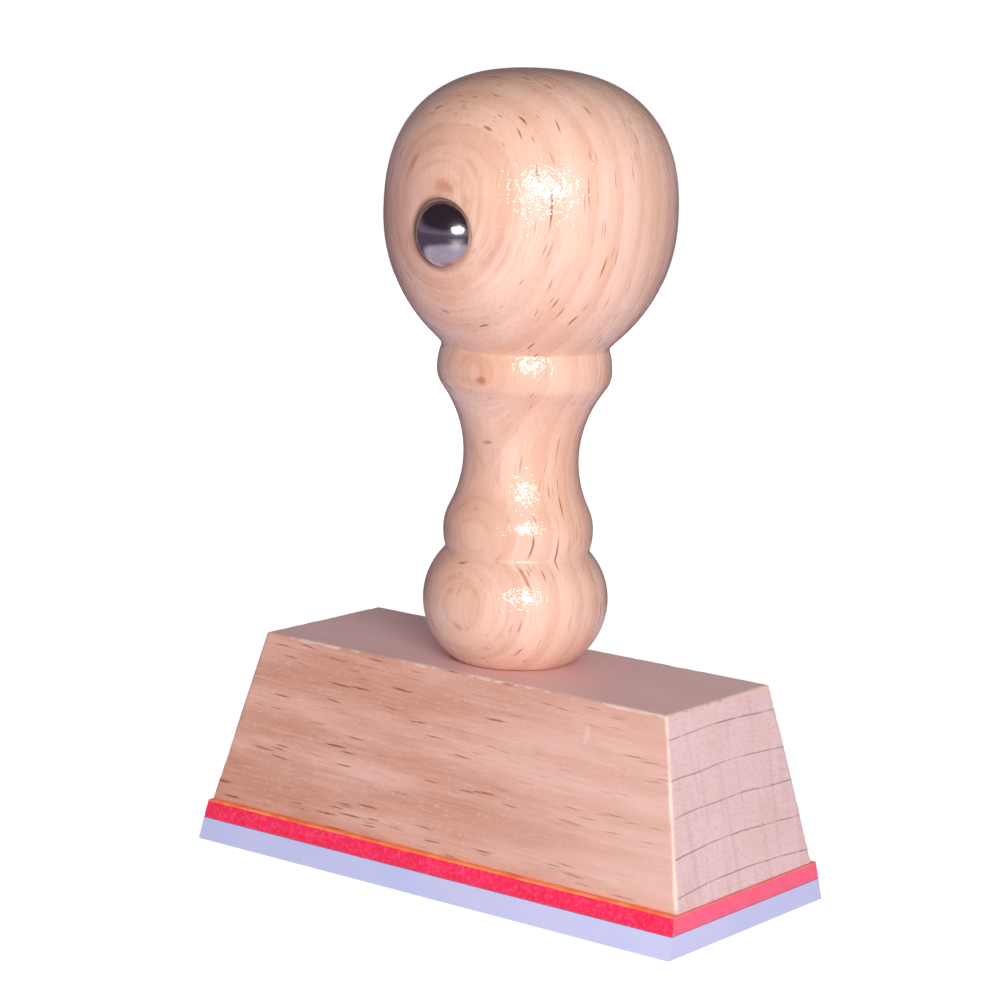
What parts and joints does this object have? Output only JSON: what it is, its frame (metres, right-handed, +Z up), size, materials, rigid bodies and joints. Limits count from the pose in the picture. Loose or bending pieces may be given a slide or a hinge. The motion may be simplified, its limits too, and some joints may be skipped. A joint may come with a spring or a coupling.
{
  "type": "rubber stamp",
  "caption": "Wooden hand stamp: a turned knob handle with a domed marker nail, screwed to a bevelled block with a foam cushion and a rubber printing plate.",
  "frame": {"origin": "middle of the printing face, on the flower's flat centre", "axes": "+X along the block, -Y towards the marked front, +Z up the handle"},
  "size_m": [0.0654, 0.034, 0.0906],
  "materials": {
    "handle_wood": "lacquered beech",
    "nail_chrome": "polished",
    "nail_steel": "drawn wire",
    "screw_steel": "zinc plated",
    "block_wood": "satin lacquered beech",
    "amber_film": "clear amber film",
    "red_foam": "fine closed-cell foam",
    "grey_film": "thin film",
    "plate_rubber": "matte moulded"
  },
  "bodies": {
    "stamp_body": {"handle": "handle_wood", "marker_nail_cap": "nail_chrome", "marker_nail_shank": "nail_steel", "dowel_screw": "screw_steel", "mount_block": "block_wood", "block_adhesive_film": "amber_film", "cushion_foam": "red_foam"},
    "plate": {"plate_adhesive_film": "grey_film", "stamp_plate": "plate_rubber"}
  },
  "joints": [
    {"name": "cushion_press", "type": "slide", "parent": "stamp_body", "child": "plate", "axis": [0, 0, 1], "range_m": [0, 0.0008], "stiffness_N_per_m": 4000, "deforming": ["cushion_foam"]}
  ]
}
